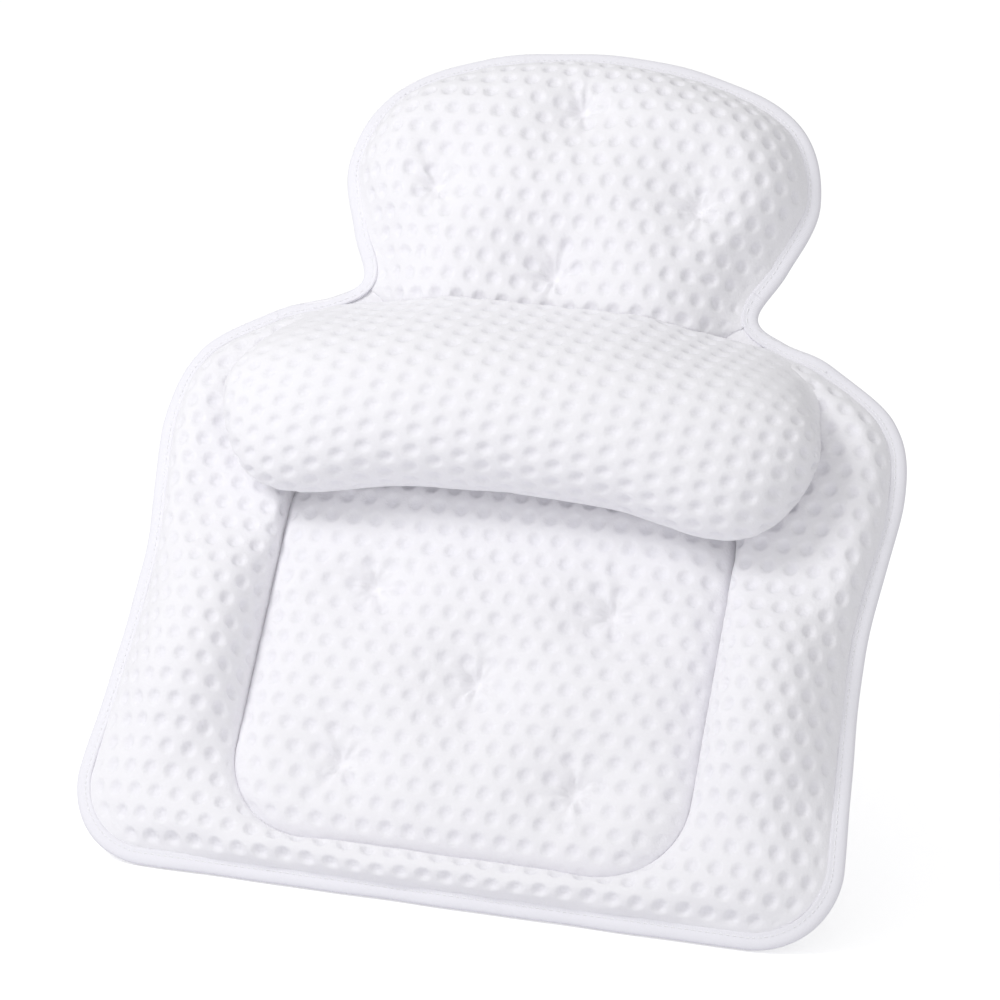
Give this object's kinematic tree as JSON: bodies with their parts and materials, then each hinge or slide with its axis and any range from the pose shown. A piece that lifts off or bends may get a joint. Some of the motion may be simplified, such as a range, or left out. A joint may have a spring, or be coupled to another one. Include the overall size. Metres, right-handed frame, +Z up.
{
  "type": "bath pillow",
  "caption": "Quilted air-mesh bath pillow: folding head pad, neck roll and padded back panel, with suction cups on the rear that hold it to the end of a bath.",
  "frame": {"origin": "on the plane of the suction cups' lips, in the mirror plane, midway between the body's two rows of cups", "axes": "+Z up; the front of the pillow faces -Y and leans back 35 degrees; +X to the right of someone looking at the front"},
  "size_m": [0.4188, 0.2968, 0.4159],
  "materials": {
    "air_mesh": "soft spacer mesh",
    "wadding": "loose fibre",
    "rear_cloth": "plain mesh cloth",
    "edge_tape": "smooth woven tape",
    "thread": "spun thread",
    "cup_vinyl": "soft clear vinyl"
  },
  "bodies": {
    "body": {"neck_roll_cover": "air_mesh", "neck_roll_fill": "wadding", "border_cover": "air_mesh", "left_border_fill": "wadding", "right_border_fill": "wadding", "bottom_border_fill": "wadding", "panel_cover": "air_mesh", "panel_fill": "wadding", "rear_cover_body": "rear_cloth", "binding_body": "edge_tape", "neck_web": "air_mesh", "neck_binding_left": "edge_tape", "neck_binding_right": "edge_tape", "panel_tuft_1": "thread", "panel_tuft_2": "thread", "panel_tuft_3": "thread", "panel_tuft_4": "thread", "panel_tuft_5": "thread", "cup_patch_3": "rear_cloth", "cup_patch_4": "rear_cloth", "cup_patch_5": "rear_cloth", "cup_patch_6": "rear_cloth"},
    "head": {"head_cover": "air_mesh", "head_fill": "wadding", "rear_cover_head": "rear_cloth", "binding_head": "edge_tape", "head_tuft_1": "thread", "head_tuft_2": "thread", "head_tuft_3": "thread", "head_tuft_4": "thread", "cup_patch_1": "rear_cloth", "cup_patch_2": "rear_cloth"},
    "cup_1": {"suction_cup_1": "cup_vinyl"},
    "cup_2": {"suction_cup_2": "cup_vinyl"},
    "cup_3": {"suction_cup_3": "cup_vinyl"},
    "cup_4": {"suction_cup_4": "cup_vinyl"},
    "cup_5": {"suction_cup_5": "cup_vinyl"},
    "cup_6": {"suction_cup_6": "cup_vinyl"}
  },
  "joints": [
    {"name": "head_fold", "type": "hinge", "parent": "body", "child": "head", "pos_m": [0, 0.08985, 0.16171], "axis": [-1, 0, 0], "range_deg": [-20, 70], "deforming": ["neck_web", "neck_binding_left", "neck_binding_right"]},
    {"name": "cup_1_turn", "type": "hinge", "parent": "head", "child": "cup_1", "pos_m": [-0.07, 0.17035, 0.24329], "axis": [0, 0.8192, -0.5736], "continuous": true},
    {"name": "cup_2_turn", "type": "hinge", "parent": "head", "child": "cup_2", "pos_m": [0.07, 0.17035, 0.24329], "axis": [0, 0.8192, -0.5736], "continuous": true},
    {"name": "cup_3_turn", "type": "hinge", "parent": "body", "child": "cup_3", "pos_m": [-0.15, -0.04589, -0.06553], "axis": [0, 0.8192, -0.5736], "continuous": true},
    {"name": "cup_4_turn", "type": "hinge", "parent": "body", "child": "cup_4", "pos_m": [0.15, -0.04589, -0.06553], "axis": [0, 0.8192, -0.5736], "continuous": true},
    {"name": "cup_5_turn", "type": "hinge", "parent": "body", "child": "cup_5", "pos_m": [-0.15, 0.04589, 0.06553], "axis": [0, 0.8192, -0.5736], "continuous": true},
    {"name": "cup_6_turn", "type": "hinge", "parent": "body", "child": "cup_6", "pos_m": [0.15, 0.04589, 0.06553], "axis": [0, 0.8192, -0.5736], "continuous": true}
  ]
}
